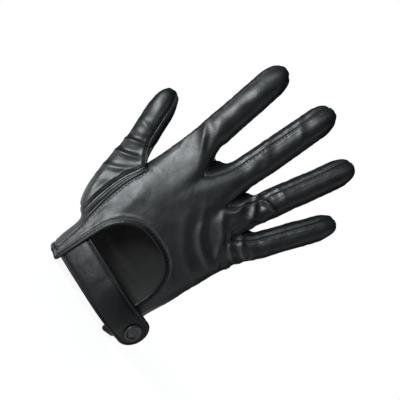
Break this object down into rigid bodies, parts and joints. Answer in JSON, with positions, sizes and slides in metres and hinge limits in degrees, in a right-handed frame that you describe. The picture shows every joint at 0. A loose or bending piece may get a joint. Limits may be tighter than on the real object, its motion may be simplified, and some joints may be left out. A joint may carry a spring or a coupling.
{
  "type": "leather driving glove",
  "caption": "Right-hand leather driving glove with an open keyhole on the back, a snap strap over the wrist, fourchettes between the fingers and a set-in thumb.",
  "frame": {"origin": "centre of the wrist opening, at the cuff's lower edge", "axes": "+Z from the cuff towards the fingertips, -Y out of the back of the hand, -X towards the thumb"},
  "size_m": [0.1352, 0.0448, 0.1921],
  "materials": {
    "leather": "smooth black glove leather with a soft sheen",
    "facing": "matt black skived leather",
    "snap": "black enamelled cap",
    "steel": "plain steel snap parts"
  },
  "bodies": {
    "hand": {"back_panel": "leather", "fourchette_index_middle": "leather", "fourchette_middle_ring": "leather", "fourchette_ring_little": "leather", "keyhole_facing": "facing", "palm_panel": "leather", "snap_eyelet": "steel", "snap_stud": "steel", "snap_tab": "leather", "strap_anchor": "leather", "thumb_base_back": "leather", "thumb_base_palm": "leather"},
    "index_tip": {"index_tip_back": "leather", "index_tip_fourchette_little_side": "leather", "index_tip_palm": "leather"},
    "little_tip": {"little_tip_back": "leather", "little_tip_fourchette_thumb_side": "leather", "little_tip_palm": "leather"},
    "middle_tip": {"middle_tip_back": "leather", "middle_tip_fourchette_little_side": "leather", "middle_tip_fourchette_thumb_side": "leather", "middle_tip_palm": "leather"},
    "ring_tip": {"ring_tip_back": "leather", "ring_tip_fourchette_little_side": "leather", "ring_tip_fourchette_thumb_side": "leather", "ring_tip_palm": "leather"},
    "strap": {"snap_cap": "snap", "snap_socket": "steel", "strap_lining": "facing", "strap_outer": "leather"},
    "thumb_tip": {"thumb_tip_back": "leather", "thumb_tip_palm": "leather"}
  },
  "joints": [
    {"name": "thumb_bend", "type": "hinge", "parent": "hand", "child": "thumb_tip", "pos_m": [-0.05843, 0.01171, 0.08685], "axis": [-0.7613, 0.4961, -0.4176], "range_deg": [0, 55]},
    {"name": "index_bend", "type": "hinge", "parent": "hand", "child": "index_tip", "pos_m": [-0.04014, 0.0045, 0.13562], "axis": [-0.9887, -0.0696, -0.1329], "range_deg": [0, 70]},
    {"name": "middle_bend", "type": "hinge", "parent": "hand", "child": "middle_tip", "pos_m": [-0.00782, 0.00422, 0.14264], "axis": [-0.9782, -0.2077, -0.0021], "range_deg": [0, 70]},
    {"name": "ring_bend", "type": "hinge", "parent": "hand", "child": "ring_tip", "pos_m": [0.01962, 0.00426, 0.13832], "axis": [-0.9478, -0.2583, 0.1867], "range_deg": [0, 70]},
    {"name": "little_bend", "type": "hinge", "parent": "hand", "child": "little_tip", "pos_m": [0.03998, 0.0042, 0.12016], "axis": [-0.888, -0.3078, 0.3417], "range_deg": [0, 70]},
    {"name": "strap_open", "type": "hinge", "parent": "hand", "child": "strap", "pos_m": [-0.02423, -0.01389, 0], "axis": [0, 0, -1], "range_deg": [0, 100]}
  ]
}
